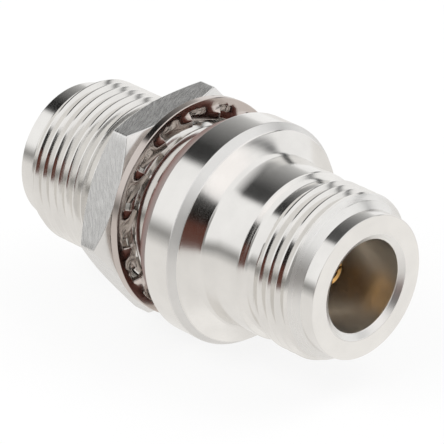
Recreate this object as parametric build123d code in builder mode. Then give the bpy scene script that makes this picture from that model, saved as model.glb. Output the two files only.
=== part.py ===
"""Coaxial bulkhead adapter, jack to jack, with its panel seal, lock washer and nut.

Lengths are in millimetres. The connector axis is X, the jack in front of the panel
points along +X, and +Z is up. The origin is on the axis, at the flange's rear face,
which is the face that meets the panel.
"""
import math
import os

from build123d import *

os.makedirs("parts", exist_ok=True)

# Coupling thread, 5/8 inch with 24 threads to the inch
THREAD_OD = 15.875
THREAD_PITCH = 25.4 / 24
THREAD_DEPTH_IN_PITCHES = 0.6134

# Overall reach of the body on each side of the panel face
FRONT_REACH = 17.1
REAR_REACH = 20.9

# Nose and lead-in cone at each mouth
NOSE_OD = 13.55
NOSE_LENGTH = 1.4
LEAD_LENGTH = 1.32

# Mouth bore, down to the face where a mating plug's outer contact stops
MOUTH_BORE = 8.75
MOUTH_DEPTH = 9.1
MOUTH_BORE_CHAMFER = 0.35
MOUTH_BORE_CHAMFER_RISE = 0.62

# Flange, which covers the seal
FLANGE_OVER_SEAL = 0.86
FLANGE_LENGTH = 2.85
FLANGE_BEVEL_LENGTH = 0.8
FLANGE_BEVEL_DROP = 0.54

# Steep shoulder in front of the flange, and the plain neck it falls to, of the thread's diameter
SHOULDER_LENGTH = 1.08
NECK_END = 8.87

# Relief between the neck and the front thread, cut just under the thread's root
RELIEF_UNDERCUT = 0.04
RELIEF_SLOPE_LENGTH = 0.4
RELIEF_FLAT_LENGTH = 1.2
THREAD_START_LENGTH = 0.45

# Coaxial line inside
LINE_BORE = 7.0
CONTACT_OD = 3.04
SOCKET_BORE = 1.68
SOCKET_DEPTH = 6.0
SOCKET_TIP_AHEAD = 4.86
SOCKET_TIP_CHAMFER = 0.25
SLOT_COUNT = 4
SLOT_WIDTH = 0.26
SLOT_LENGTH = 4.8
BEAD_LENGTH = 3.0
BEAD_CENTRE = 0.0
BEAD_CLEARANCE = 0.01
WAIST_OD = 2.2
STUD_OD = 1.6
STUD_LENGTH = 3.0
STUD_CLEARANCE = 0.02
STUD_END_GAP = 0.3
REAR_BEAD_LENGTH = 2.6
REAR_BEAD_INSET = 1.2

# Panel seal, a flat rubber ring round the body against the flange
SEAL_THICKNESS = 1.51
SEAL_WIDTH = 1.75
SEAL_CLEARANCE = 0.05

# Lock washer with teeth inside, which hangs loose and leans back at the top
TOOTH_TIP_CLEARANCE = 0.36
TOOTH_LENGTH = 1.35
WASHER_RING_WIDTH = 0.7
WASHER_THICKNESS = 0.8
WASHER_FACE = -4.05
WASHER_LEAN = 3.0
WASHER_OFFSET = 0.15
TOOTH_COUNT = 16
TOOTH_SLOT_WIDTH = 0.45
TOOTH_THICKNESS = 0.55
TOOTH_TWIST = 17.0
TOOTH_TWIST_LENGTH = 0.65
TOOTH_PHASE = 105.0
TOOTH_ROOT_OVERLAP = 0.2

# Hexagon nut, with its wall measured at the middle of a flat
NUT_WALL = 1.5375
NUT_THICKNESS = 3.4
NUT_FACE = -5.6
NUT_TURN = 7.35
NUT_CHAMFER_ANGLE = 30.0
NUT_THREAD_CLEARANCE = 0.05
NUT_BORE_CHAMFER = 0.5

# Places that follow from the sizes above
thread_r = THREAD_OD / 2
nose_r = NOSE_OD / 2
seal_inner_r = thread_r + SEAL_CLEARANCE
seal_outer_r = seal_inner_r + SEAL_WIDTH
flange_r = seal_outer_r + FLANGE_OVER_SEAL
thread_root_r = thread_r - THREAD_DEPTH_IN_PITCHES * THREAD_PITCH
relief_r = thread_root_r - RELIEF_UNDERCUT
bore_r = MOUTH_BORE / 2
line_r = LINE_BORE / 2
contact_r = CONTACT_OD / 2
front_plane = FRONT_REACH - MOUTH_DEPTH
rear_plane = MOUTH_DEPTH - REAR_REACH
front_tip = front_plane + SOCKET_TIP_AHEAD
rear_tip = rear_plane - SOCKET_TIP_AHEAD
bead_front = BEAD_CENTRE + BEAD_LENGTH / 2
bead_rear = BEAD_CENTRE - BEAD_LENGTH / 2


def mouth_end(mouth_x, outward):
    """Profile points of one mouth, from the top of its lead-in cone into its bore."""
    steps = [
        (NOSE_LENGTH + LEAD_LENGTH, thread_r),
        (NOSE_LENGTH, nose_r),
        (0, nose_r),
        (0, bore_r + MOUTH_BORE_CHAMFER_RISE),
        (MOUTH_BORE_CHAMFER, bore_r),
    ]
    return [(mouth_x - outward * back, radius) for back, radius in steps]


# One-piece turned body: front jack, neck, flange and the long rear thread
shoulder_top = (FLANGE_LENGTH + FLANGE_BEVEL_LENGTH, flange_r - FLANGE_BEVEL_DROP)
shoulder_foot = (shoulder_top[0] + SHOULDER_LENGTH, thread_r)
neck_end = (NECK_END, thread_r)
relief_foot = (NECK_END + RELIEF_SLOPE_LENGTH, relief_r)
relief_end = (relief_foot[0] + RELIEF_FLAT_LENGTH, relief_r)
thread_start = (relief_end[0] + THREAD_START_LENGTH, thread_r)
front_mouth = mouth_end(FRONT_REACH, 1)
rear_mouth = mouth_end(-REAR_REACH, -1)

with BuildPart() as adapter_body:
    with BuildSketch(Plane.XZ):
        with BuildLine():
            Polyline(shoulder_top, shoulder_foot, neck_end)
            Polyline(neck_end, relief_foot, relief_end, thread_start, *front_mouth)
            Polyline(
                front_mouth[-1],
                (front_plane, bore_r),
                (front_plane, line_r),
                (bead_front, line_r),
                (bead_front, bore_r),
                rear_mouth[-1],
            )
            Polyline(
                *reversed(rear_mouth),
                (0, thread_r),
                (0, flange_r),
                (FLANGE_LENGTH, flange_r),
                shoulder_top,
            )
        make_face()
    revolve(axis=Axis.X)
adapter_body.part.label = "adapter_body"
export_step(adapter_body.part, "parts/adapter_body.step")

# Sleeve pressed in from the rear, which carries the rear line bore and holds the front bead
with BuildPart() as rear_sleeve:
    with BuildSketch(Plane.XZ):
        with BuildLine():
            Polyline(
                (bead_rear, line_r),
                (bead_rear, bore_r),
                (rear_plane, bore_r),
                (rear_plane, line_r),
                close=True,
            )
        make_face()
    revolve(axis=Axis.X)
rear_sleeve.part.label = "rear_sleeve"
export_step(rear_sleeve.part, "parts/rear_sleeve.step")


def bead(inner, outer, rear, length):
    """Insulating bead: a plain ring on the axis, from its rear face forwards."""
    with BuildPart() as ring:
        with BuildSketch(Plane.YZ.offset(rear)):
            Circle(outer)
            Circle(inner, mode=Mode.SUBTRACT)
        extrude(amount=length)
    return ring.part


# Insulating beads that carry the centre contact
front_insulator = bead(WAIST_OD / 2 + BEAD_CLEARANCE, bore_r - BEAD_CLEARANCE, bead_rear, BEAD_LENGTH)
front_insulator.label = "front_insulator"
export_step(front_insulator, "parts/front_insulator.step")

rear_bead_face = rear_plane + REAR_BEAD_INSET
rear_insulator = bead(contact_r + BEAD_CLEARANCE, line_r - BEAD_CLEARANCE, rear_bead_face, REAR_BEAD_LENGTH)
rear_insulator.label = "rear_insulator"
export_step(rear_insulator, "parts/rear_insulator.step")


def socket_cutter(tip_x, outward):
    """The hole and the slots of one socket, as a solid to be cut from its contact."""
    with BuildPart() as cutter:
        with BuildSketch(Plane.YZ.offset(tip_x)):
            Circle(SOCKET_BORE / 2)
        extrude(amount=-outward * SOCKET_DEPTH)
        with BuildSketch(Plane.YZ.offset(tip_x)):
            with PolarLocations(contact_r / 2, SLOT_COUNT):
                Rectangle(CONTACT_OD, SLOT_WIDTH)
        extrude(amount=-outward * SLOT_LENGTH)
    return cutter.part


# Front half of the centre contact: slotted socket, waist in the bead, stud behind it
stud_end = bead_rear - STUD_LENGTH
with BuildPart() as front_contact:
    with BuildSketch(Plane.XZ):
        with BuildLine():
            Polyline(
                (stud_end, 0),
                (stud_end, STUD_OD / 2),
                (bead_rear, STUD_OD / 2),
                (bead_rear, WAIST_OD / 2),
                (bead_front, WAIST_OD / 2),
                (bead_front, contact_r),
                (front_tip - SOCKET_TIP_CHAMFER, contact_r),
                (front_tip, contact_r - SOCKET_TIP_CHAMFER),
                (front_tip, 0),
                close=True,
            )
        make_face()
    revolve(axis=Axis.X)
    add(socket_cutter(front_tip, 1), mode=Mode.SUBTRACT)
front_contact.part.label = "front_contact"
export_step(front_contact.part, "parts/front_contact.step")

# Rear half of the centre contact, pushed over the front half's stud
stud_hole_end = stud_end - STUD_END_GAP
stud_hole_r = STUD_OD / 2 + STUD_CLEARANCE
with BuildPart() as rear_contact:
    with BuildSketch(Plane.XZ):
        with BuildLine():
            Polyline(
                (stud_hole_end, 0),
                (stud_hole_end, stud_hole_r),
                (bead_rear, stud_hole_r),
                (bead_rear, contact_r),
                (rear_tip + SOCKET_TIP_CHAMFER, contact_r),
                (rear_tip, contact_r - SOCKET_TIP_CHAMFER),
                (rear_tip, 0),
                close=True,
            )
        make_face()
    revolve(axis=Axis.X)
    add(socket_cutter(rear_tip, -1), mode=Mode.SUBTRACT)
rear_contact.part.label = "rear_contact"
export_step(rear_contact.part, "parts/rear_contact.step")

# Flat rubber ring that seals the panel hole, face to face with the flange
with BuildPart() as panel_seal:
    with BuildSketch(Plane.YZ.offset(-SEAL_THICKNESS)):
        Circle(seal_outer_r)
        Circle(seal_inner_r, mode=Mode.SUBTRACT)
    extrude(amount=SEAL_THICKNESS)
panel_seal.part.label = "panel_seal"
export_step(panel_seal.part, "parts/panel_seal.step")

# One washer tooth in the washer's own plane, flat where it leaves the ring and then twisted like
# a blade, so that its leading edge stands towards the nut and its other edge towards the panel
tooth_tip = thread_r + TOOTH_TIP_CLEARANCE
ring_inner_r = tooth_tip + TOOTH_LENGTH
tooth_root = ring_inner_r + TOOTH_ROOT_OVERLAP
tooth_bend = ring_inner_r - TOOTH_TWIST_LENGTH
with BuildPart() as washer_tooth:
    for radius, twist in ((tooth_root, 0), (tooth_bend, TOOTH_TWIST), (tooth_tip, TOOTH_TWIST)):
        with BuildSketch(Plane.YZ.offset(radius)):
            Rectangle(2 * math.pi * radius / TOOTH_COUNT - TOOTH_SLOT_WIDTH, TOOTH_THICKNESS, rotation=-twist)
    loft(ruled=True)

washer_lean = math.radians(WASHER_LEAN)
washer_face = Plane(
    origin=(WASHER_FACE, WASHER_OFFSET, WASHER_OFFSET),
    x_dir=(0, 1, 0),
    z_dir=(math.cos(washer_lean), 0, math.sin(washer_lean)),
)
washer_middle = washer_face.offset(-WASHER_THICKNESS / 2)
with BuildPart(washer_middle) as lock_washer:
    with BuildSketch(washer_middle):
        Circle(ring_inner_r + WASHER_RING_WIDTH)
        Circle(ring_inner_r, mode=Mode.SUBTRACT)
    extrude(amount=WASHER_THICKNESS / 2, both=True)
    with PolarLocations(0, TOOTH_COUNT, start_angle=TOOTH_PHASE):
        add(washer_tooth.part)
lock_washer.part.label = "lock_washer"
export_step(lock_washer.part, "parts/lock_washer.step")

# Hexagon nut, chamfered on both faces
nut_rear = NUT_FACE - NUT_THICKNESS
nut_bore_r = thread_r + NUT_THREAD_CLEARANCE
nut_flat_r = nut_bore_r + NUT_WALL
nut_corner_r = nut_flat_r / math.cos(math.radians(30))
nut_corner_drop = (nut_corner_r - nut_flat_r) * math.tan(math.radians(NUT_CHAMFER_ANGLE))
with BuildPart() as hex_nut:
    with BuildSketch(Plane.YZ.offset(nut_rear)):
        RegularPolygon(nut_flat_r, 6, major_radius=False, rotation=NUT_TURN)
    extrude(amount=NUT_THICKNESS)
    with BuildSketch(Plane.XZ):
        with BuildLine():
            Polyline(
                (nut_rear, 0),
                (nut_rear, nut_flat_r),
                (nut_rear + nut_corner_drop, nut_corner_r),
                (NUT_FACE - nut_corner_drop, nut_corner_r),
                (NUT_FACE, nut_flat_r),
                (NUT_FACE, 0),
                close=True,
            )
        make_face()
    revolve(axis=Axis.X, mode=Mode.INTERSECT)
    with BuildSketch(Plane.XZ):
        with BuildLine():
            Polyline(
                (nut_rear, 0),
                (nut_rear, nut_bore_r + NUT_BORE_CHAMFER),
                (nut_rear + NUT_BORE_CHAMFER, nut_bore_r),
                (NUT_FACE - NUT_BORE_CHAMFER, nut_bore_r),
                (NUT_FACE, nut_bore_r + NUT_BORE_CHAMFER),
                (NUT_FACE, 0),
                close=True,
            )
        make_face()
    revolve(axis=Axis.X, mode=Mode.SUBTRACT)
hex_nut.part.label = "hex_nut"
export_step(hex_nut.part, "parts/hex_nut.step")
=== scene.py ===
"""Looks, light and camera of a coaxial bulkhead adapter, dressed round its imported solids.

Sizes in the classes are in millimetres in the frame of the solids: the connector axis is X, the
front jack points along +X, +Z is up and the flange's rear face lies at X = 0. Meshes are made
in metres.
"""
import logging
import math
from collections.abc import Callable, Sequence
from dataclasses import dataclass
from enum import Enum

import bmesh
import bpy
from mathutils import Matrix, Vector


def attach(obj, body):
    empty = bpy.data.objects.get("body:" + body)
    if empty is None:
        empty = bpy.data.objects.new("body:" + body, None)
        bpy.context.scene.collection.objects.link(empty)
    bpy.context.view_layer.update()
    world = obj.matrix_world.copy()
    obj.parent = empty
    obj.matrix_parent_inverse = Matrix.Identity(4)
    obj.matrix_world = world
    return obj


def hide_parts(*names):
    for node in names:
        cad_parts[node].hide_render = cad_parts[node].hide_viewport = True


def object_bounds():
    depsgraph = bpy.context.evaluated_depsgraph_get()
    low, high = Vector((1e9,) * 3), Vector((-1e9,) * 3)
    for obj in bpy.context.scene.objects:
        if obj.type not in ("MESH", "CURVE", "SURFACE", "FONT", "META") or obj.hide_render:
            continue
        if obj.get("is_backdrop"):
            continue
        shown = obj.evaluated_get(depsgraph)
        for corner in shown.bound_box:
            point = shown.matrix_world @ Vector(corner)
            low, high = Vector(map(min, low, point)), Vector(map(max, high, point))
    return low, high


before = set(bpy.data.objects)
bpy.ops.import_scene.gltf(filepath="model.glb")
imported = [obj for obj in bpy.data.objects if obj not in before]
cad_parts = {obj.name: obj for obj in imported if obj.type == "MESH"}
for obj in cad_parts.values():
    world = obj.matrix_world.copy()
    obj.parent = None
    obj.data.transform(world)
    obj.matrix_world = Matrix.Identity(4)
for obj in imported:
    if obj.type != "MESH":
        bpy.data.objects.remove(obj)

log = logging.getLogger("adapter")

MM = 0.001
WHITE = (1.0, 1.0, 1.0)

# Lengths under these are taken as nothing: the first in millimetres, the others in metres
TINY = 1e-9
MERGED = 2e-7
COLLAPSED = 1e-7

# Spans that hold most values of a noise texture
NOISE_SPAN = (0.3, 0.7)
CLOUD_SPAN = (0.35, 0.65)
SCRATCH_SPAN = (0.4, 0.7)

# A rounding takes up this share of a side at most, and its guard points stand this much further out
ROUNDING_SHARE = 0.35
GUARD_REACH = 1.3

Color = tuple[float, float, float]
Point = tuple[float, float]
Triple = tuple[float, float, float]
Section = list[Point]
Socket = bpy.types.NodeSocket
Object = bpy.types.Object
Row = tuple[list[bmesh.types.BMVert], list[bmesh.types.BMVert]]


class Slot(Enum):
    """Material slots of the record, one for each rebuilt piece."""

    NICKEL = "nickel_plate"
    NUT = "nut_nickel"
    WASHER = "washer_steel"
    SEAL = "seal_rubber"


class Body(Enum):
    """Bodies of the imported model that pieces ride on."""

    ADAPTER = "adapter"
    WASHER = "washer"
    NUT = "nut"


# Small tools for node trees


@dataclass
class Graph:
    """A shader node tree with short calls for adding nodes."""

    tree: bpy.types.NodeTree

    def add(self, kind: str, *values: object, **settings: object) -> bpy.types.Node:
        """Adds a node, sets its properties and feeds its inputs.

        Args:
            kind: Blender's type name of the node.
            *values: Constants or sockets for its inputs, in their order.
            **settings: Properties of the node, by name.

        Returns:
            The new node.
        """
        node = self.tree.nodes.new(kind)
        for key, value in settings.items():
            setattr(node, key, value)
        for socket, value in zip(node.inputs, values):
            self.feed(socket, value)
        return node

    def feed(self, socket: Socket, value: object) -> None:
        """Sets a socket to a constant, or links another socket to it.

        Args:
            socket: The input.
            value: The constant or the other socket.
        """
        if isinstance(value, bpy.types.NodeSocket):
            self.tree.links.new(value, socket)
        else:
            socket.default_value = value

    def math(self, operation: str, *values: object) -> Socket:
        """Adds a math node that works on the values and returns the result's socket."""
        return self.add("ShaderNodeMath", *values, operation=operation).outputs[0]

    def times(self, first: object, second: object) -> Socket:
        """Multiplies two numbers and returns the result's socket."""
        return self.math("MULTIPLY", first, second)

    def combine(self, *values: object) -> Socket:
        """Joins three numbers into a vector and returns its socket."""
        return self.add("ShaderNodeCombineXYZ", *values).outputs[0]

    def split(self, vector: Socket) -> Sequence[Socket]:
        """Splits a vector and returns the sockets of its three numbers."""
        return self.add("ShaderNodeSeparateXYZ", vector).outputs

    def noise(self, vector: object, scale: float, detail: float = 2.0, roughness: float = 0.5) -> Socket:
        """Adds a noise texture.

        Args:
            vector: Where the texture is read.
            scale: Cells for each unit of the vector.
            detail: Octaves of the noise.
            roughness: Strength of the fine octaves.

        Returns:
            The value's socket, from 0 to 1.
        """
        node = self.add("ShaderNodeTexNoise")
        self.feed(node.inputs["Vector"], vector)
        self.feed(node.inputs["Scale"], scale)
        self.feed(node.inputs["Detail"], detail)
        self.feed(node.inputs["Roughness"], roughness)
        return node.outputs[0]

    def span(self, value: object, low: float, high: float, start: float = 0.0, end: float = 1.0) -> Socket:
        """Maps a number from one span to another.

        Args:
            value: The number, as a socket.
            low: Result at the span's start.
            high: Result at the span's end.
            start: Start of the span that is read.
            end: End of the span that is read.

        Returns:
            The result's socket, clamped to the span.
        """
        node = self.add("ShaderNodeMapRange")
        inputs = {"Value": value, "From Min": start, "From Max": end, "To Min": low, "To Max": high}
        for key, number in inputs.items():
            self.feed(node.inputs[key], number)
        return node.outputs[0]

    def attribute(self, name: str) -> Socket:
        """Reads a number stored on the mesh and returns its socket."""
        return self.add("ShaderNodeAttribute", attribute_name=name).outputs["Fac"]

    def place(self) -> Sequence[Socket]:
        """Finds where the surface point lies.

        Returns:
            The sockets of its X, Y and Z in millimetres.
        """
        spot = self.add("ShaderNodeTexCoord").outputs["Object"]
        scaled = self.add("ShaderNodeVectorMath", spot, operation="SCALE")
        scaled.inputs["Scale"].default_value = 1 / MM
        return self.split(scaled.outputs[0])

    def mix(self, factor: object, first: Color | Socket, second: Color | Socket) -> Socket:
        """Blends two colours.

        Args:
            factor: Share of the second colour.
            first: Colour at 0.
            second: Colour at 1.

        Returns:
            The colour's socket.
        """
        node = self.add("ShaderNodeMix", data_type="RGBA")
        self.feed(node.inputs[0], factor)
        first_color_input, second_color_input = 6, 7
        for index, color in ((first_color_input, first), (second_color_input, second)):
            self.feed(node.inputs[index], (*color, 1.0) if isinstance(color, tuple) else color)
        return node.outputs[2]

    def mix_shader(self, factor: Socket, first: Socket, second: Socket) -> Socket:
        """Blends two shaders and returns the result's socket; the factor is the second one's share."""
        return self.add("ShaderNodeMixShader", factor, first, second).outputs[0]

    def bump(self, height: object, strength: float, depth: float) -> Socket:
        """Turns a height into a normal.

        Args:
            height: Height from 0 to 1.
            strength: Share of the slope that is used.
            depth: Height of the relief in millimetres.

        Returns:
            The normal's socket.
        """
        node = self.add("ShaderNodeBump")
        node.inputs["Strength"].default_value = strength
        node.inputs["Distance"].default_value = depth * MM
        self.feed(node.inputs["Height"], height)
        return node.outputs[0]

    def surface(self, shader: bpy.types.Node, color: Socket, roughness: Socket, normal: Socket) -> None:
        """Links the colour, roughness and normal of the main shader."""
        for key, value in (("Base Color", color), ("Roughness", roughness), ("Normal", normal)):
            self.feed(shader.inputs[key], value)

    def seen(self) -> Socket:
        """Tells what sees the surface.

        Returns:
            A socket that is 1 for the camera, for reflections and through glass, and 0 for light.
        """
        paths = self.add("ShaderNodeLightPath").outputs
        seen = self.math("MAXIMUM", paths["Is Camera Ray"], paths["Is Glossy Ray"])
        return self.math("MAXIMUM", seen, paths["Is Transmission Ray"])


def new_material(name: str) -> tuple[bpy.types.Material, Graph, bpy.types.Node]:
    """Makes an empty node material.

    Args:
        name: The material's name.

    Returns:
        The material, its graph and its main shader.
    """
    material = bpy.data.materials.new(name)
    material.use_nodes = True
    graph = Graph(material.node_tree)
    return material, graph, material.node_tree.nodes["Principled BSDF"]


# Finishes


@dataclass(frozen=True)
class TurnedMetal:
    """Plated metal with fine marks that run round the axis, as a lathe tool leaves them."""

    name: str
    color: Color
    roughness: float
    roughness_spread: float = 0.06
    marks_per_mm: float = 9.0
    mark_depth: float = 0.002
    mark_strength: float = 0.35
    mark_drift: float = 0.05
    mark_share: float = 0.6
    clouds_per_mm: float = 0.35
    stain: float = 0.06

    def material(self) -> bpy.types.Material:
        """Builds the finish.

        Returns:
            The material.
        """
        material, graph, shader = new_material(self.name)
        _, y, z = graph.place()
        run = graph.attribute("run")
        drift = (graph.times(side, self.mark_drift) for side in (y, z))
        lines = graph.noise(graph.combine(graph.times(run, self.marks_per_mm), *drift), 1.0)
        cloud = graph.noise(graph.combine(run, y, z), self.clouds_per_mm, 3.0)
        parts = graph.times(lines, self.mark_share), graph.times(cloud, 1 - self.mark_share)
        low, high = self.roughness - self.roughness_spread, self.roughness + self.roughness_spread
        dull = tuple(channel * (1 - self.stain) for channel in self.color)
        graph.surface(
            shader,
            graph.mix(graph.span(cloud, 0.0, 1.0, *CLOUD_SPAN), dull, self.color),
            graph.span(graph.math("ADD", *parts), low, high, *NOISE_SPAN),
            graph.bump(lines, self.mark_strength, self.mark_depth),
        )
        shader.inputs["Metallic"].default_value = 1.0
        return material


@dataclass(frozen=True)
class BrushedMetal:
    """Plated metal with straight scratches that cross a flat at a slant."""

    name: str
    color: Color
    roughness: float
    slant_deg: float
    smoother: float = 0.08
    rougher: float = 0.1
    paler: float = 1.3
    scratches_per_mm: float = 9.0
    scratch_length_mm: float = 1.1
    depth: float = 0.003
    strength: float = 0.35

    def material(self) -> bpy.types.Material:
        """Builds the finish.

        Returns:
            The material.
        """
        material, graph, shader = new_material(self.name)
        run, around = graph.attribute("run"), graph.attribute("around")
        cos, sin = math.cos(math.radians(self.slant_deg)), math.sin(math.radians(self.slant_deg))
        along = graph.math("ADD", graph.times(around, cos), graph.times(run, sin))
        across = graph.math("SUBTRACT", graph.times(run, cos), graph.times(around, sin))
        place = graph.combine(
            graph.math("DIVIDE", along, self.scratch_length_mm),
            graph.times(across, self.scratches_per_mm),
            0.0,
        )
        lines = graph.noise(place, 1.0, 3.0, 0.65)
        pale = tuple(min(1.0, channel * self.paler) for channel in self.color)
        graph.surface(
            shader,
            graph.mix(graph.span(lines, 0.0, 1.0, *SCRATCH_SPAN), self.color, pale),
            graph.span(lines, self.roughness - self.smoother, self.roughness + self.rougher, *NOISE_SPAN),
            graph.bump(lines, self.strength, self.depth),
        )
        shader.inputs["Metallic"].default_value = 1.0
        return material


@dataclass(frozen=True)
class Moulded:
    """Rubber or plastic with a fine grain; its back may have another colour, from one X to another."""

    name: str
    color: Color
    roughness: float
    grain_mm: float
    grain_depth: float
    grain_strength: float = 0.4
    roughness_spread: float = 0.06
    clouds_per_mm: float = 0.4
    shade: float = 0.1
    back: Color | None = None
    back_span: Point = (-1.7, -0.7)

    def material(self) -> bpy.types.Material:
        """Builds the finish.

        Returns:
            The material.
        """
        material, graph, shader = new_material(self.name)
        x, y, z = graph.place()
        place = graph.combine(x, y, z)
        grain = graph.noise(place, 1 / self.grain_mm, 3.0)
        dark = tuple(channel * (1 - self.shade) for channel in self.color)
        color = graph.mix(graph.noise(place, self.clouds_per_mm), dark, self.color)
        # Blends from the back colour to the front colour along X; on the seal the front colour is painted
        # sheen
        if self.back:
            color = graph.mix(graph.span(x, 0.0, 1.0, *self.back_span), self.back, color)
        low, high = self.roughness - self.roughness_spread, self.roughness + self.roughness_spread
        relief = graph.bump(grain, self.grain_strength, self.grain_depth)
        graph.surface(shader, color, graph.span(grain, low, high), relief)
        return material


BRIGHT_NICKEL = TurnedMetal("bright_nickel", (0.84, 0.825, 0.80), 0.15, 0.02, mark_depth=0.0006)
THREAD_NICKEL = TurnedMetal(
    "thread_nickel", (0.83, 0.815, 0.79), 0.15, 0.03, mark_depth=0.0006, mark_strength=0.2
)
MILLED_NICKEL = TurnedMetal("milled_nickel", (0.80, 0.79, 0.775), 0.38, marks_per_mm=5.0, mark_depth=0.006)
LEAD_NICKEL = TurnedMetal("lead_nickel", (0.85, 0.84, 0.82), 0.3, marks_per_mm=7.0, mark_depth=0.004)
BORE_NICKEL = TurnedMetal("bore_nickel", (0.94, 0.9, 0.84), 0.34, mark_depth=0.001, mark_strength=0.25)
NUT_FACE_NICKEL = TurnedMetal("nut_face_nickel", (0.80, 0.79, 0.775), 0.22)
NUT_FLAT_NICKEL = BrushedMetal("nut_flat_nickel", (0.68, 0.675, 0.665), 0.28, slant_deg=-14.0)
# The washer's colour is darker and pinker than the plated steel: painted shade of the gap between flange and
# nut, and painted reflection of the red seal
WASHER_PLATE_PAINTED_SHADE = TurnedMetal(
    "washer_plate_painted_shade", (0.60, 0.54, 0.505), 0.13, 0.02, marks_per_mm=3.0, mark_depth=0.001
)
CONTACT_GOLD = TurnedMetal("contact_gold", (1.0, 0.6, 0.22), 0.2)
WHITE_INSULATOR = Moulded("insulator_white", (0.86, 0.86, 0.84), 0.45, 0.15, 0.01)
# The seal's pale grey-pink front colour is painted sheen, the pale surroundings mirrored at grazing angles;
# the dark red back colour is the rubber's own
SEAL_RUBBER_PAINTED_SHEEN = Moulded("seal_rubber", (0.27, 0.225, 0.21), 0.35, 0.12, 0.02, back=(0.15, 0.05, 0.036))


class BodyFinish(Enum):
    """Finishes of the body, in the order of its material indices."""

    BRIGHT = BRIGHT_NICKEL
    THREAD = THREAD_NICKEL
    MILLED = MILLED_NICKEL
    BORE = BORE_NICKEL
    LEAD = LEAD_NICKEL


# Mesh making


def put(name: str, data: bpy.types.ID) -> Object:
    """Makes an object of a mesh, light or camera, links it to the scene and returns it."""
    obj = bpy.data.objects.new(name, data)
    bpy.context.scene.collection.objects.link(obj)
    return obj


def rounded(points: Sequence[Point], radius: float, steps: int = 3, closed: bool = False) -> Section:
    """Rounds the corners of an outline, with a point on each side that keeps the sides' shading flat.

    Args:
        points: Corners of the outline.
        radius: Radius of the rounding, less where a side is too short for it.
        steps: Pieces of each rounding.
        closed: Whether the last point joins the first.

    Returns:
        The outline's points, as many for any corners of the same count.
    """
    result: Section = []
    count = len(points)
    for index, corner in enumerate(points):
        if not closed and index in (0, count - 1):
            result.append(corner)
            continue
        here = Vector(corner)
        before = Vector(points[index - 1]) - here
        after = Vector(points[(index + 1) % count]) - here
        reach = min(radius, ROUNDING_SHARE * before.length, ROUNDING_SHARE * after.length)
        back, onward = before.normalized() * reach, after.normalized() * reach
        start, end = here + back, here + onward
        spots = [here + back * GUARD_REACH]
        for step in range(steps + 1):
            t = step / steps
            spots.append(start * (1 - t) ** 2 + here * 2 * t * (1 - t) + end * t**2)
        spots.append(here + onward * GUARD_REACH)
        result.extend((spot.x, spot.y) for spot in spots)
    return result


def arc_chain(start: Point, arcs: Sequence[Triple], steps: int) -> Section:
    """Walks a chain of hollow arcs down towards the axis and forwards.

    Args:
        start: First point of the chain.
        arcs: For each arc, the tilt of its normal at both ends in degrees, and its radius.
        steps: Points of each arc.

    Returns:
        The chain's points, with its start.
    """
    points = [start]
    for first, last, radius in arcs:
        x, height = points[-1]
        begin = math.radians(first)
        for step in range(1, steps + 1):
            tilt = begin + math.radians(last - first) * step / steps
            fall = radius * (math.cos(tilt) - math.cos(begin))
            points.append((x + radius * (math.sin(begin) - math.sin(tilt)), height - fall))
    return points


def even_angles(count: int) -> list[float]:
    """Returns that many angles spread evenly round the axis, in radians."""
    return [2 * math.pi * index / count for index in range(count)]


def finish_mesh(obj: Object, materials: Sequence[bpy.types.Material], sharp_deg: float = 32.0) -> None:
    """Smooths a mesh apart from its sharp edges and gives it its materials.

    Args:
        obj: The mesh object.
        materials: Materials in the order of the faces' material indices.
        sharp_deg: Edges that turn by more than this stay sharp.
    """
    mesh = obj.data
    for material in materials:
        mesh.materials.append(material)
    mesh.shade_smooth()
    mesh.set_sharp_from_angle(angle=math.radians(sharp_deg))


def revolved(
    name: str, section: Callable[[float], Section], angles: Sequence[float], marks: Sequence[int] = ()
) -> Object:
    """Makes a ring-shaped mesh from a closed section that may change round the axis.

    Each vertex stores "run", the way along the section in millimetres, and "around", the way
    round the axis at the outermost point.

    Args:
        name: The piece's name.
        section: Gives the closed section's (x, radius) points for an angle, always as many.
        angles: Angles of the columns, in radians.
        marks: Material index of each row of faces, from the section's first point on.

    Returns:
        The mesh object, linked to the scene.
    """
    columns = [section(angle) for angle in angles]
    rows = len(columns[0])
    outer = max(radius for _, radius in columns[0])
    runs = [0.0]
    for first, second in zip(columns[0], columns[0][1:]):
        runs.append(runs[-1] + math.dist(first, second))
    verts: list[Triple] = []
    for angle, column in zip(angles, columns):
        for x, radius in column:
            verts.append((x * MM, radius * math.cos(angle) * MM, radius * math.sin(angle) * MM))
    faces: list[tuple[int, ...]] = []
    for index in range(len(columns)):
        here, there = index * rows, (index + 1) % len(columns) * rows
        for row in range(rows):
            after = (row + 1) % rows
            faces.append((here + row, here + after, there + after, there + row))
    mesh = bpy.data.meshes.new(name)
    mesh.from_pydata(verts, [], faces)
    around = [angle * outer for angle in angles for _ in range(rows)]
    for key, values in (("run", runs * len(columns)), ("around", around)):
        mesh.attributes.new(key, "FLOAT", "POINT").data.foreach_set("value", values)
    mesh.polygons.foreach_set("material_index", [*(marks or [0] * rows)] * len(columns))
    work = bmesh.new()
    work.from_mesh(mesh)
    bmesh.ops.remove_doubles(work, verts=work.verts, dist=MERGED)
    bmesh.ops.dissolve_degenerate(work, edges=work.edges, dist=COLLAPSED)
    bmesh.ops.recalc_face_normals(work, faces=work.faces)
    work.to_mesh(mesh)
    work.free()
    return put(name, mesh)


def adopt(obj: Object, body: Body, slot: Slot, node: str) -> None:
    """Puts a piece on its body and hides the solid that it stands for.

    Args:
        obj: The piece.
        body: The body that it rides on.
        slot: Not used.
        node: The solid's node.
    """
    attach(obj, body.value)
    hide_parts(node)
    log.info("%s: %d faces on %s", obj.name, len(obj.data.polygons), body.value)


# The adapter's pieces


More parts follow.
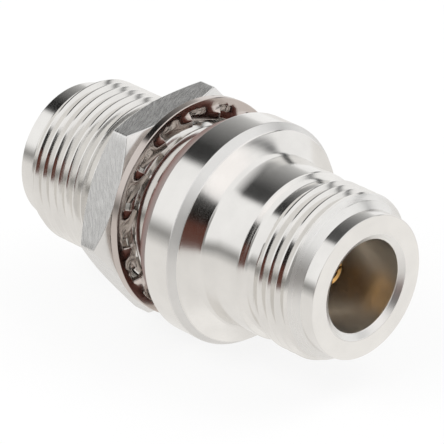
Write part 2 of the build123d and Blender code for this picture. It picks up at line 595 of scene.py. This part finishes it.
@dataclass
class Thread:
    """A right-hand 60 degree thread cut into a stretch of the body.

    The crest and root shares are parts of the pitch. The cut's depth is 1 in the root's middle;
    the other depths are those where the root's round bottom ends and where flank meets crest.
    """

    major_r: float
    pitch: float
    valley_at: float
    low: float
    high: float
    crest_share: float = 0.16
    root_share: float = 0.2
    depth: float = 0.62
    bottom_share: float = 0.6
    bottom_depth: float = 0.97
    flank_foot_depth: float = 0.88
    flank_top_depth: float = 0.04
    crest_ease: float = 0.02
    flank_steps: int = 4

    def shape(self) -> list[Point]:
        """Gives the form of one turn.

        Returns:
            Points (place in pitches from the valley, share of the depth).
        """
        root, crest = self.root_share / 2, 0.5 - self.crest_share / 2
        half = [(0.0, 1.0), (root * self.bottom_share, self.bottom_depth), (root, self.flank_foot_depth)]
        for step in range(1, self.flank_steps):
            share = step / self.flank_steps
            rise = share * (self.flank_foot_depth - self.flank_top_depth)
            half.append((root + (crest - root) * share, self.flank_foot_depth - rise))
        half += [(crest, self.flank_top_depth), (crest + self.crest_ease, 0.0)]
        return [(-spot, share) for spot, share in reversed(half[1:])] + half

    def points(self, angle: float, cover: Callable[[float], float]) -> Section:
        """Gives the thread's section at an angle, from its high end to its low one.

        Args:
            angle: Angle round the axis, in radians.
            cover: Gives the radius that the thread may not pass, for an x.

        Returns:
            Points (x, radius), as many at every angle.
        """
        first = math.floor((self.low - self.valley_at) / self.pitch) - 2
        last = math.ceil((self.high - self.valley_at) / self.pitch) + 1
        result: Section = []
        for turn in range(last, first - 1, -1):
            for spot, share in reversed(self.shape()):
                x = self.valley_at + (turn + spot + angle / (2 * math.pi)) * self.pitch
                x = min(max(x, self.low), self.high)
                result.append((x, min(self.major_r - self.depth * share * self.fade(x), cover(x))))
        return result

    def fade(self, x: float) -> float:
        """Returns the share of the full depth that the thread has at an x."""
        return 1.0


@dataclass
class RunOutThread(Thread):
    """A thread whose cut runs out towards its high end."""

    run_out: float = 1.2

    def fade(self, x: float) -> float:
        """Returns the share of the full depth that the thread has at an x."""
        return min(1.0, max(0.0, (self.high - x) / self.run_out))


@dataclass
class AdapterBody:
    """The one-piece turned body with both jacks, the flange and the threads."""

    thread_r: float = 7.9375
    pitch: float = 25.4 / 24
    front_reach: float = 17.1
    rear_reach: float = 20.9
    nose_r: float = 6.775
    nose_length: float = 1.4
    lead_length: float = 1.32
    bore_r: float = 4.375
    bore_chamfer: float = 0.35
    bore_chamfer_rise: float = 0.62
    line_r: float = 3.5
    front_plane: float = 8.0
    bead_front: float = 1.5
    flange_r: float = 10.5975
    flange_length: float = 2.85
    bevel_length: float = 0.8
    bevel_drop: float = 0.54
    shoulder_arcs: tuple[Triple, ...] = ((66.0, 61.0, 22.0), (61.0, 10.0, 0.52), (10.0, 0.0, 8.0))
    arc_steps: int = 9
    neck_end: float = 8.87
    relief_slope_length: float = 0.4
    relief_r: float = 7.248
    relief_round: float = 0.33
    relief_steps: int = 6
    thread_start: float = 10.47
    thread_start_length: float = 0.45
    front_valley: float = 11.58
    rear_valley: float = -12.49
    rear_thread_end: float = -1.6
    edge_r: float = 0.08
    margin: float = 0.02
    columns: int = 160

    def front_cover(self, x: float) -> float:
        """Returns the radius of the front thread's outline at an x."""
        climb = (x - self.thread_start) / self.thread_start_length * (self.thread_r - self.relief_r)
        return min(self.thread_r, self.relief_r + climb, self.lead_radius(self.front_reach - x))

    def rear_cover(self, x: float) -> float:
        """Returns the radius of the rear thread's outline at an x."""
        return min(self.thread_r, self.lead_radius(self.rear_reach + x))

    def lead_radius(self, back: float) -> float:
        """Returns the radius of the lead-in cone at a distance behind the mouth."""
        slope = (self.thread_r - self.nose_r) / self.lead_length
        return max(self.nose_r, self.nose_r + (back - self.nose_length) * slope)

    def mouth(self, x: float, outward: int) -> Section:
        """Gives a mouth's outline from its bore to the foot of its lead-in cone.

        Args:
            x: Place of the mouth.
            outward: 1 where it opens along +X, or -1.

        Returns:
            The outline's corners.
        """
        steps = (
            (self.bore_chamfer, self.bore_r),
            (0.0, self.bore_r + self.bore_chamfer_rise),
            (0.0, self.nose_r),
            (self.nose_length, self.nose_r),
        )
        return [(x - outward * back, radius) for back, radius in steps]

    def section(self, angle: float) -> Section:
        """Gives the body's closed section.

        Args:
            angle: Angle round the axis, in radians.

        Returns:
            Points (x, radius), from the front bore's floor out of the mouth and along the outside.
        """
        front_end, rear_end = self.front_reach - self.nose_length, self.nose_length - self.rear_reach
        front = Thread(self.thread_r, self.pitch, self.front_valley, self.thread_start, front_end)
        rear = RunOutThread(self.thread_r, self.pitch, self.rear_valley, rear_end, self.rear_thread_end)
        shoulder_top = (self.flange_length + self.bevel_length, self.flange_r - self.bevel_drop)
        shoulder = arc_chain(shoulder_top, self.shoulder_arcs, self.arc_steps)[::-1]
        inside = rounded(
            [
                (self.bead_front, self.bore_r),
                (self.bead_front, self.line_r),
                (self.front_plane, self.line_r),
                (self.front_plane, self.bore_r),
                *self.mouth(self.front_reach, 1),
            ],
            self.edge_r,
        )
        neck_end = (self.neck_end, self.thread_r)
        relief_foot = (self.neck_end + self.relief_slope_length, self.relief_r)
        relief_end = (self.thread_start, self.relief_r)
        relief = rounded([relief_end, relief_foot, neck_end], self.relief_round, self.relief_steps)
        neck = rounded([relief[-2], neck_end, shoulder[0]], self.edge_r)
        flange = rounded(
            [
                shoulder[-2],
                shoulder_top,
                (self.flange_length, self.flange_r),
                (0.0, self.flange_r),
                (0.0, self.thread_r),
                (self.rear_thread_end, self.thread_r),
            ],
            self.edge_r,
        )
        rear_inside = [*self.mouth(-self.rear_reach, -1)[::-1], (self.bead_front, self.bore_r)]
        return [
            *inside,
            *front.points(angle, self.front_cover),
            *relief[1:-1],
            *neck[1:],
            *shoulder[1:-1],
            *flange[1:],
            *rear.points(angle, self.rear_cover),
            *rounded(rear_inside, self.edge_r)[:-1],
        ]

    def marks(self) -> list[int]:
        """Finds the finish of each row of faces, which is that of the stretch that leads to it.

        Returns:
            Material indices, in the section's order.
        """
        section = self.section(0.0)
        order = list(BodyFinish)
        marks: list[int] = []
        for first, second in zip(section, section[1:]):
            if not marks or math.dist(first, second) > TINY:
                middle = ((first[0] + second[0]) / 2, (first[1] + second[1]) / 2)
                mark = order.index(self.finish_at(*middle))
            marks.append(mark)
        return [marks[0], *marks]

    def finish_at(self, x: float, radius: float) -> BodyFinish:
        """Chooses the finish at a point of the section.

        Args:
            x: The point's place.
            radius: Its distance from the axis.

        Returns:
            The finish.
        """
        if radius <= self.bore_r + self.margin / 2:
            return BodyFinish.BORE
        if radius < self.bore_r + self.bore_chamfer_rise - self.margin:
            return BodyFinish.LEAD
        bevel_end = self.flange_length + self.bevel_length
        past_flange = x > self.flange_length + self.margin * 1.5
        if past_flange and x < bevel_end and radius > self.flange_r - self.bevel_drop:
            return BodyFinish.MILLED
        back = min(self.front_reach - x, self.rear_reach + x) - self.nose_length
        if 0.0 < back < self.lead_length:
            return BodyFinish.LEAD if x > 0.0 else BodyFinish.BRIGHT
        if back > 0.0 and (x > self.thread_start or x < self.rear_thread_end):
            return BodyFinish.THREAD
        return BodyFinish.BRIGHT

    def build(self) -> None:
        """Builds the body and dresses it."""
        body = revolved("adapter_body_dressed", self.section, even_angles(self.columns), self.marks())
        finish_mesh(body, [finish.value.material() for finish in BodyFinish])
        adopt(body, Body.ADAPTER, Slot.NICKEL, "adapter_body")


@dataclass
class PanelSeal:
    """The rubber ring behind the flange."""

    centre_x: float = -0.95
    centre_r: float = 8.92
    section_r: float = 0.93
    steps: int = 28
    columns: int = 160

    def section(self, angle: float) -> Section:
        """Gives the ring's closed section, the same at every angle.

        Args:
            angle: Angle round the axis, in radians.

        Returns:
            Points (x, radius).
        """
        return [
            (self.centre_x + self.section_r * math.cos(turn), self.centre_r + self.section_r * math.sin(turn))
            for turn in even_angles(self.steps)
        ]

    def build(self) -> None:
        """Builds the seal and dresses it."""
        seal = revolved("panel_seal_dressed", self.section, even_angles(self.columns))
        finish_mesh(seal, [SEAL_RUBBER_PAINTED_SHEEN.material()])
        adopt(seal, Body.ADAPTER, Slot.SEAL, "panel_seal")


@dataclass
class HexNut:
    """The hexagon nut, chamfered on both faces.

    A face of the mesh is part of a flat from flat_share of the flats' width on, where its normal
    leans along the axis by less than flat_tilt.
    """

    front: float = -5.6
    thickness: float = 3.4
    bore_r: float = 7.9875
    wall: float = 1.5375
    bore_chamfer: float = 0.5
    turn_deg: float = 7.35
    chamfer_deg: float = 30.0
    edge_r: float = 0.09
    corner_r: float = 0.35
    face_inset: float = 0.02
    flat_share: float = 0.995
    flat_tilt: float = 0.2
    flat_columns: int = 18
    corner_columns: int = 6

    @property
    def flat_r(self) -> float:
        """Half the width across the flats."""
        return self.bore_r + self.wall

    def outline(self) -> list[Point]:
        """Walks round the hexagon with its rounded corners.

        Returns:
            Pairs (angle in radians, radius).
        """
        half_side = math.pi / 6
        round_start = self.flat_r * math.tan(half_side) - self.corner_r * math.tan(half_side)
        reach = (self.flat_r - self.corner_r) / math.cos(half_side)
        corner = Vector((reach * math.cos(half_side), reach * math.sin(half_side)))
        spots: list[Point] = []
        for side in range(6):
            middle = math.radians(self.turn_deg) + half_side + side * math.pi / 3
            for step in range(self.flat_columns + 1):
                along = round_start * (2 * step / self.flat_columns - 1)
                spots.append((middle + math.atan2(along, self.flat_r), math.hypot(along, self.flat_r)))
            for step in range(1, self.corner_columns):
                turn = math.pi / 3 * step / self.corner_columns
                spot = corner + self.corner_r * Vector((math.cos(turn), math.sin(turn)))
                spots.append((middle + math.atan2(spot.y, spot.x), spot.length))
        return spots

    def section(self, outer: float) -> Section:
        """Gives the nut's closed section.

        Args:
            outer: Radius of the hexagon there.

        Returns:
            Points (x, radius), rounded at the edges.
        """
        rear = self.front - self.thickness
        drop = max(0.0, outer - self.flat_r) * math.tan(math.radians(self.chamfer_deg))
        mouth_r, face_r = self.bore_r + self.bore_chamfer, self.flat_r - self.face_inset
        corners = [
            (self.front - self.bore_chamfer, self.bore_r),
            (self.front, mouth_r),
            (self.front, face_r),
            (self.front - drop, outer),
            (rear + drop, outer),
            (rear, face_r),
            (rear, mouth_r),
            (rear + self.bore_chamfer, self.bore_r),
        ]
        return rounded(corners, self.edge_r, closed=True)

    def build(self) -> None:
        """Builds the nut and dresses it, with its flats brushed."""
        radii = dict(self.outline())
        nut = revolved("hex_nut_dressed", lambda angle: self.section(radii[angle]), list(radii))
        for face in nut.data.polygons:
            reach = Vector((0.0, face.center.y, face.center.z)).length
            outward = reach > self.flat_r * MM * self.flat_share
            face.material_index = int(outward and abs(face.normal.x) < self.flat_tilt)
        finish_mesh(nut, [NUT_FACE_NICKEL.material(), NUT_FLAT_NICKEL.material()])
        adopt(nut, Body.NUT, Slot.NUT, "hex_nut")


@dataclass
class LockWasher:
    """The loose lock washer, a ring with twisted teeth inside.

    The ring_rows are the rows of points that belong to the ring; those of the teeth follow.
    """

    tooth_tip_r: float = 8.2975
    tooth_length: float = 1.35
    ring_width: float = 0.7
    thickness: float = 0.8
    face_x: float = -4.05
    lean_deg: float = 3.0
    offset: float = 0.15
    teeth: int = 16
    slot_width: float = 0.45
    tooth_thickness: float = 0.55
    twist_deg: float = 17.0
    twist_length: float = 0.65
    phase_deg: float = 105.0
    edge_r: float = 0.07
    edge_segments: int = 2
    edge_deg: float = 40.0
    sharp_deg: float = 18.0
    merged: float = 1e-6
    across: int = 8
    along: int = 12
    ring_rows: int = 3

    @property
    def ring_r(self) -> float:
        """Inner radius of the ring."""
        return self.tooth_tip_r + self.tooth_length

    @property
    def sector(self) -> float:
        """Angle from one tooth to the next, in radians."""
        return 2 * math.pi / self.teeth

    def frame(self) -> Matrix:
        """Finds the washer's place.

        Returns:
            A matrix with the normal of the washer's middle plane as its third axis.
        """
        lean = math.radians(self.lean_deg)
        normal = Vector((math.cos(lean), 0.0, math.sin(lean)))
        first = Vector((0.0, 1.0, 0.0))
        matrix = Matrix((first, normal.cross(first), normal)).transposed().to_4x4()
        matrix.translation = Vector((self.face_x, self.offset, self.offset)) - normal * self.thickness / 2
        return matrix

    def height(self, radius: float, aside: float) -> tuple[float, float]:
        """Gives the middle surface and half thickness of the metal.

        Args:
            radius: Distance from the washer's axis.
            aside: Distance from the tooth's middle line.

        Returns:
            The middle's height and half the thickness there.
        """
        depth = min(1.0, max(0.0, (self.ring_r - radius) / self.twist_length))
        twist = math.radians(self.twist_deg) * depth
        half = self.thickness / 2 + (self.tooth_thickness - self.thickness) / 2 * depth
        return -aside * math.tan(twist), half / math.cos(twist)

    def steps_across(self, half: float) -> list[float]:
        """Returns the angles of a row's points from one side to the other, evenly spread."""
        return [-half + 2 * half * step / self.across for step in range(self.across + 1)]

    def row_angles(self, index: int, radius: float) -> list[float]:
        """Spreads a row's points between the slots, or over the whole sector on the ring.

        Args:
            index: Number of the row.
            radius: Its distance from the washer's axis.

        Returns:
            Angles from the tooth's middle, in radians.
        """
        if index >= self.ring_rows:
            return self.steps_across(math.asin((math.pi * radius / self.teeth - self.slot_width / 2) / radius))
        half = self.sector / 2
        return [-half, *self.steps_across(half - self.slot_width / 2 / self.ring_r), half]

    def add_sector(self, work: bmesh.types.BMesh, middle: float, radii: Sequence[float]) -> None:
        """Adds one tooth with its share of the ring.

        Args:
            work: Mesh that takes the faces.
            middle: Angle of the tooth's middle, in radians.
            radii: Distances of the rows from the axis, from outside to the tooth's tip.
        """
        place = self.frame()
        rows: list[Row] = []
        for index, radius in enumerate(radii):
            row: Row = ([], [])
            for angle in self.row_angles(index, radius):
                mid, half = self.height(radius, radius * math.sin(angle))
                x, y = radius * math.cos(middle + angle), radius * math.sin(middle + angle)
                for face, level in zip(row, (mid + half, mid - half)):
                    face.append(work.verts.new(place @ Vector((x, y, level)) * MM))
            rows.append(row)
        for index in range(len(rows) - 1):
            for outer, inner in zip(rows[index], rows[index + 1]):
                if index == self.ring_rows - 1:
                    outer = outer[1:-1]
                for step in range(len(inner) - 1):
                    work.faces.new((outer[step], outer[step + 1], inner[step + 1], inner[step]))
        self.close_ends(work, rows)

    def close_ends(self, work: bmesh.types.BMesh, rows: Sequence[Row]) -> None:
        """Adds the walls at the ring's outside, in the slots and at the tooth's tip.

        Args:
            work: Mesh that takes the faces.
            rows: The rows of points of both faces, from outside to the tooth's tip.
        """
        last_ring, tip, end = rows[self.ring_rows - 1], rows[-1], len(rows[0][0]) - 2
        walls = [(rows[0], range(end + 1)), (tip, range(len(tip[0]) - 1)), (last_ring, (0, end))]
        for (top, under), steps in walls:
            for step in steps:
                work.faces.new((top[step], top[step + 1], under[step + 1], under[step]))
        for index in range(self.ring_rows - 1, len(rows) - 1):
            here, there = rows[index], rows[index + 1]
            inset = 1 if index < self.ring_rows else 0
            for side, spot in ((0, inset), (-1, -1 - inset)):
                work.faces.new((here[0][spot], there[0][side], there[1][side], here[1][spot]))

    def build(self) -> None:
        """Builds the washer and dresses it."""
        work = bmesh.new()
        outer_r = self.ring_r + self.ring_width
        radii = [outer_r, outer_r - self.ring_width / 2, self.ring_r]
        for step in range(1, self.along + 1):
            radii.append(self.ring_r - self.tooth_length * step / self.along)
        for tooth in range(self.teeth):
            self.add_sector(work, math.radians(self.phase_deg) + tooth * self.sector, radii)
        bmesh.ops.remove_doubles(work, verts=work.verts, dist=self.merged)
        bmesh.ops.recalc_face_normals(work, faces=work.faces)
        run = work.verts.layers.float.new("run")
        back = self.frame().inverted()
        for vert in work.verts:
            vert[run] = (back @ (vert.co / MM)).to_2d().length
        mesh = bpy.data.meshes.new("lock_washer_dressed")
        work.to_mesh(mesh)
        work.free()
        washer = put(mesh.name, mesh)
        bevel = washer.modifiers.new("edges", "BEVEL")
        bevel.width = self.edge_r * MM
        bevel.segments = self.edge_segments
        bevel.limit_method = "ANGLE"
        bevel.angle_limit = math.radians(self.edge_deg)
        finish_mesh(washer, [WASHER_PLATE_PAINTED_SHADE.material()], self.sharp_deg)
        adopt(washer, Body.WASHER, Slot.WASHER, "lock_washer")


@dataclass
class InnerLine:
    """The contacts, beads and sleeve inside, which keep their own solids."""

    gilded: tuple[str, ...] = ("front_contact", "rear_contact")
    white: tuple[str, ...] = ("front_insulator", "rear_insulator")
    plated: tuple[str, ...] = ("rear_sleeve",)

    def build(self) -> None:
        """Gives each carried-over solid its material."""
        finishes = ((CONTACT_GOLD, self.gilded), (WHITE_INSULATOR, self.white), (BORE_NICKEL, self.plated))
        for finish, nodes in finishes:
            material = finish.material()
            for node in nodes:
                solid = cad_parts[node]
                solid.data.materials.clear()
                solid.data.materials.append(material)
                log.info("%s: dressed", node)


# Light, floor and camera


def toward(azimuth: float, elevation: float) -> Vector:
    """Returns the direction seen at an azimuth and elevation; azimuth 0 is towards -Y, 90 towards +X."""
    turn, rise = math.radians(azimuth), math.radians(elevation)
    return Vector((math.sin(turn) * math.cos(rise), -math.cos(turn) * math.cos(rise), math.sin(rise)))


def upright(left: float, right: float, low: float, high: float) -> tuple[Point, ...]:
    """Returns the corners of a card with level and upright sides."""
    return (left, low), (right, low), (right, high), (left, high)


@dataclass
class Card:
    """A studio card that only shows in reflections, spread between four directions.

    The corners are (azimuth, elevation) pairs in degrees: lower left, lower right, upper right
    and upper left as seen from the part. The card's colour runs from low to high.
    """

    name: str
    corners: tuple[Point, ...]
    low: Color
    high: Color | None = None
    soft: Point = (0.3, 0.3)
    distance: float = 0.6
    cells: int = 12

    def shade(self, graph: Graph, upward: Socket) -> Socket:
        """Returns the share of the high colour at a share of the card's height."""
        return upward

    def material(self) -> bpy.types.Material:
        """Builds the glowing material with soft edges.

        Returns:
            The material.
        """
        material, graph, _ = new_material(self.name)
        graph.tree.nodes.clear()
        place = graph.split(graph.add("ShaderNodeTexCoord").outputs["UV"])
        edges = []
        for axis, soft in enumerate(self.soft):
            off = graph.math("ABSOLUTE", graph.math("SUBTRACT", place[axis], 0.5))
            edges.append(graph.span(off, 1.0, 0.0, 0.5 - soft / 2, 0.5))
        color = graph.mix(self.shade(graph, place[1]), self.low, self.high or self.low)
        glow = graph.add("ShaderNodeEmission")
        graph.feed(glow.inputs["Color"], color)
        clear = graph.add("ShaderNodeBsdfTransparent")
        surface = graph.mix_shader(graph.times(*edges), clear.outputs[0], glow.outputs[0])
        graph.feed(graph.add("ShaderNodeOutputMaterial").inputs[0], surface)
        return material

    def between(self, across: float, upward: float) -> Vector:
        """Returns the point between the corners at a share of the card's width and height."""
        low_left, low_right, high_right, high_left = (Vector(corner) for corner in self.corners)
        return low_left.lerp(low_right, across).lerp(high_left.lerp(high_right, across), upward)

    def spot(self, across: float, upward: float) -> Vector:
        """Returns the place at a share of the card's width and height."""
        return toward(*self.between(across, upward)) * self.distance

    def build(self) -> None:
        """Builds the card out of small cells."""
        count = self.cells + 1
        shares = [step / self.cells for step in range(count)]
        verts = [self.spot(across, upward) for upward in shares for across in shares]
        faces = []
        for row in range(self.cells):
            for column in range(self.cells):
                first = row * count + column
                faces.append((first, first + 1, first + 1 + count, first + count))
        mesh = bpy.data.meshes.new(self.name)
        mesh.from_pydata(verts, [], faces)
        layer = mesh.uv_layers.new(name="UVMap")
        for loop, mark in zip(mesh.loops, layer.data):
            mark.uv = (loop.vertex_index % count / self.cells, loop.vertex_index // count / self.cells)
        mesh.materials.append(self.material())
        card = put(self.name, mesh)
        for flag in ("camera", "diffuse", "transmission", "shadow", "volume_scatter"):
            setattr(card, f"visible_{flag}", False)
        card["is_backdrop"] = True


@dataclass
class Ceiling(Card):
    """A level card over or, with a distance below 0, under the part.

    Its corners are level places, in shares of the distance.
    """

    fall_start: float = 0.0
    fall_rate: float = 0.0

    def shade(self, graph: Graph, upward: Socket) -> Socket:
        """Nears the high colour ever more slowly.

        Args:
            graph: The material's graph.
            upward: Share of the card's depth.

        Returns:
            The socket of the high colour's share.
        """
        past = graph.math("MAXIMUM", graph.math("SUBTRACT", upward, self.fall_start), 0.0)
        return graph.math("SUBTRACT", 1.0, graph.math("EXPONENT", graph.times(past, -self.fall_rate)))

    def spot(self, across: float, upward: float) -> Vector:
        """Returns the place at a share of the card's width and depth."""
        return Vector((*self.between(across, upward), 1.0)) * self.distance


@dataclass
class Ribbon(Card):
    """A narrow card along a path of directions, its corners; its upright width grows along it."""

    widths: Point = (4.0, 16.0)
    cells: int = 42

    def spot(self, across: float, upward: float) -> Vector:
        """Finds a place on the ribbon.

        Args:
            across: Share of the ribbon's width.
            upward: Share of its path.

        Returns:
            The place.
        """
        along = upward * (len(self.corners) - 1)
        index = min(int(along), len(self.corners) - 2)
        middle = Vector(self.corners[index]).lerp(Vector(self.corners[index + 1]), along - index)
        width = self.widths[0] + (self.widths[1] - self.widths[0]) * upward
        return toward(middle.x, middle.y + (across - 0.5) * width) * self.distance


STREAK_PATH = (
    (116.0, 9.5), (124.0, 13.0), (131.0, 14.5), (138.0, 15.0), (153.0, 23.5),
    (167.0, 28.0), (186.0, 28.0), (202.0, 23.0), (210.0, 16.0),
)
BROWN_CORNERS = ((46.0, -11.0), (104.0, -20.0), (106.0, -10.0), (48.0, 18.0))
BLACK_CORNERS = ((55.0, 10.0), (106.0, -14.0), (108.0, -8.0), (66.0, 33.0))
PALE_GREY = (0.3, 0.295, 0.285)

STUDIO_CARDS = (
    Ceiling(
        "pale_ground", upright(-9.0, 9.0, -9.0, 9.0), (0.86, 0.845, 0.825), soft=(0.01, 0.01), distance=-0.7
    ),
    Ceiling(
        "dark_ceiling",
        upright(-2.6, -0.35, -0.33, 6.0),
        (0.02, 0.02, 0.02),
        (0.95, 0.95, 0.94),
        soft=(0.35, 0.04),
        fall_start=0.07,
        fall_rate=2.75,
    ),
    Ribbon("dark_streak", STREAK_PATH, (0.025, 0.028, 0.03), soft=(0.8, 0.2)),
    Ceiling("bright_ground", upright(-1.8, -0.1, -1.9, 0.15), (0.99, 0.975, 0.955), distance=-0.69),
    Card("white_panel", upright(86.0, 124.0, 3.0, 27.0), (1.14, 1.11, 1.1), soft=(0.5, 0.6), distance=0.68),
    Card("camera_side", upright(14.0, 60.0, -10.0, 41.0), PALE_GREY, soft=(0.5, 0.4)),
    Card("horizon", upright(-75.0, 62.0, -11.0, 11.0), PALE_GREY, soft=(0.2, 0.9)),
    Card("brown_flag", BROWN_CORNERS, (0.11, 0.04, 0.028), soft=(0.3, 0.1), distance=0.55),
    Card("black_flag", BLACK_CORNERS, (0.012, 0.012, 0.011), soft=(0.3, 0.1), distance=0.5),
)


@dataclass
class Studio:
    """The pale floor, the white surroundings, the lamps and the cards."""

    floor_gap: float = 0.0001
    floor_size: float = 3.0
    floor_color: Color = (0.86, 0.86, 0.86)
    floor_roughness: float = 0.9
    floor_glow: float = 0.85
    world_fill: float = 0.75
    lamp_size: float = 0.5
    lamp_distance: float = 0.8

    def floor(self) -> None:
        """Builds the floor under the lowest point of the part."""
        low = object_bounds()[0].z - self.floor_gap
        half = self.floor_size / 2
        mesh = bpy.data.meshes.new("floor")
        corners = [(*corner, low) for corner in upright(-half, half, -half, half)]
        mesh.from_pydata(corners, [], [(0, 1, 2, 3)])
        material, graph, shader = new_material("pale_floor")
        shader.inputs["Base Color"].default_value = (*self.floor_color, 1.0)
        shader.inputs["Roughness"].default_value = self.floor_roughness
        glow = graph.add("ShaderNodeEmission")
        share = graph.times(graph.seen(), self.floor_glow)
        surface = graph.mix_shader(share, shader.outputs[0], glow.outputs[0])
        graph.feed(graph.tree.nodes["Material Output"].inputs[0], surface)
        mesh.materials.append(material)
        floor = put("floor", mesh)
        floor.visible_glossy = False
        floor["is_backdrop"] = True

    def world(self) -> None:
        """Makes the white surroundings."""
        world = bpy.data.worlds.new("white_room")
        bpy.context.scene.world = world
        world.use_nodes = True
        graph = Graph(world.node_tree)
        background = graph.tree.nodes["Background"]
        background.inputs["Color"].default_value = (*WHITE, 1.0)
        graph.feed(background.inputs["Strength"], graph.span(graph.seen(), self.world_fill, 1.0))

    def lamp(self, name: str, azimuth: float, elevation: float, power: float) -> None:
        """Adds a soft lamp that points at the part and shows in no reflection.

        Args:
            name: The lamp's name.
            azimuth: Direction of the lamp from the part, in degrees.
            elevation: Height of the lamp above the horizon, in degrees.
            power: Power in watts.
        """
        light = bpy.data.lights.new(name, "AREA")
        light.size = self.lamp_size
        light.energy = power
        lamp = put(name, light)
        away = toward(azimuth, elevation)
        lamp.location = away * self.lamp_distance
        lamp.rotation_mode = "QUATERNION"
        lamp.rotation_quaternion = away.to_track_quat("Z", "Y")
        lamp.visible_camera = False
        lamp.visible_glossy = False

    def build(self) -> None:
        """Builds floor, world, lamps and cards."""
        self.floor()
        self.world()
        self.lamp("soft_lamp_left", -20.0, 45.0, 3.0)
        self.lamp("soft_lamp_right", 150.0, 55.0, 2.0)
        for card in STUDIO_CARDS:
            card.build()
        bpy.context.scene.view_settings.view_transform = "Standard"


@dataclass
class Camera:
    """The camera at the photograph's viewing angle."""

    azimuth: float = 46.025
    elevation: float = 27.100
    place: Triple = (209.696, -203.348, 149.633)
    focal_px: float = 3629.339
    frame_px: int = 444
    sensor_mm: float = 36.0
    clip_m: Point = (0.01, 10.0)

    def build(self) -> None:
        """Builds the camera and makes it the scene's own."""
        data = bpy.data.cameras.new("camera")
        data.sensor_width = self.sensor_mm
        data.lens = self.focal_px * self.sensor_mm / self.frame_px
        data.clip_start, data.clip_end = self.clip_m
        camera = put("camera", data)
        camera.location = Vector(self.place) * MM
        camera.rotation_mode = "QUATERNION"
        camera.rotation_quaternion = toward(self.azimuth, self.elevation).to_track_quat("Z", "Y")
        bpy.context.scene.camera = camera


def main() -> None:
    """Builds the parts in order, then the studio and the camera."""
    logging.basicConfig(level=logging.INFO, format="%(message)s")
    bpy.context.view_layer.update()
    for maker in (AdapterBody(), PanelSeal(), HexNut(), LockWasher(), InnerLine(), Studio(), Camera()):
        maker.build()


if __name__ == "__main__":
    main()
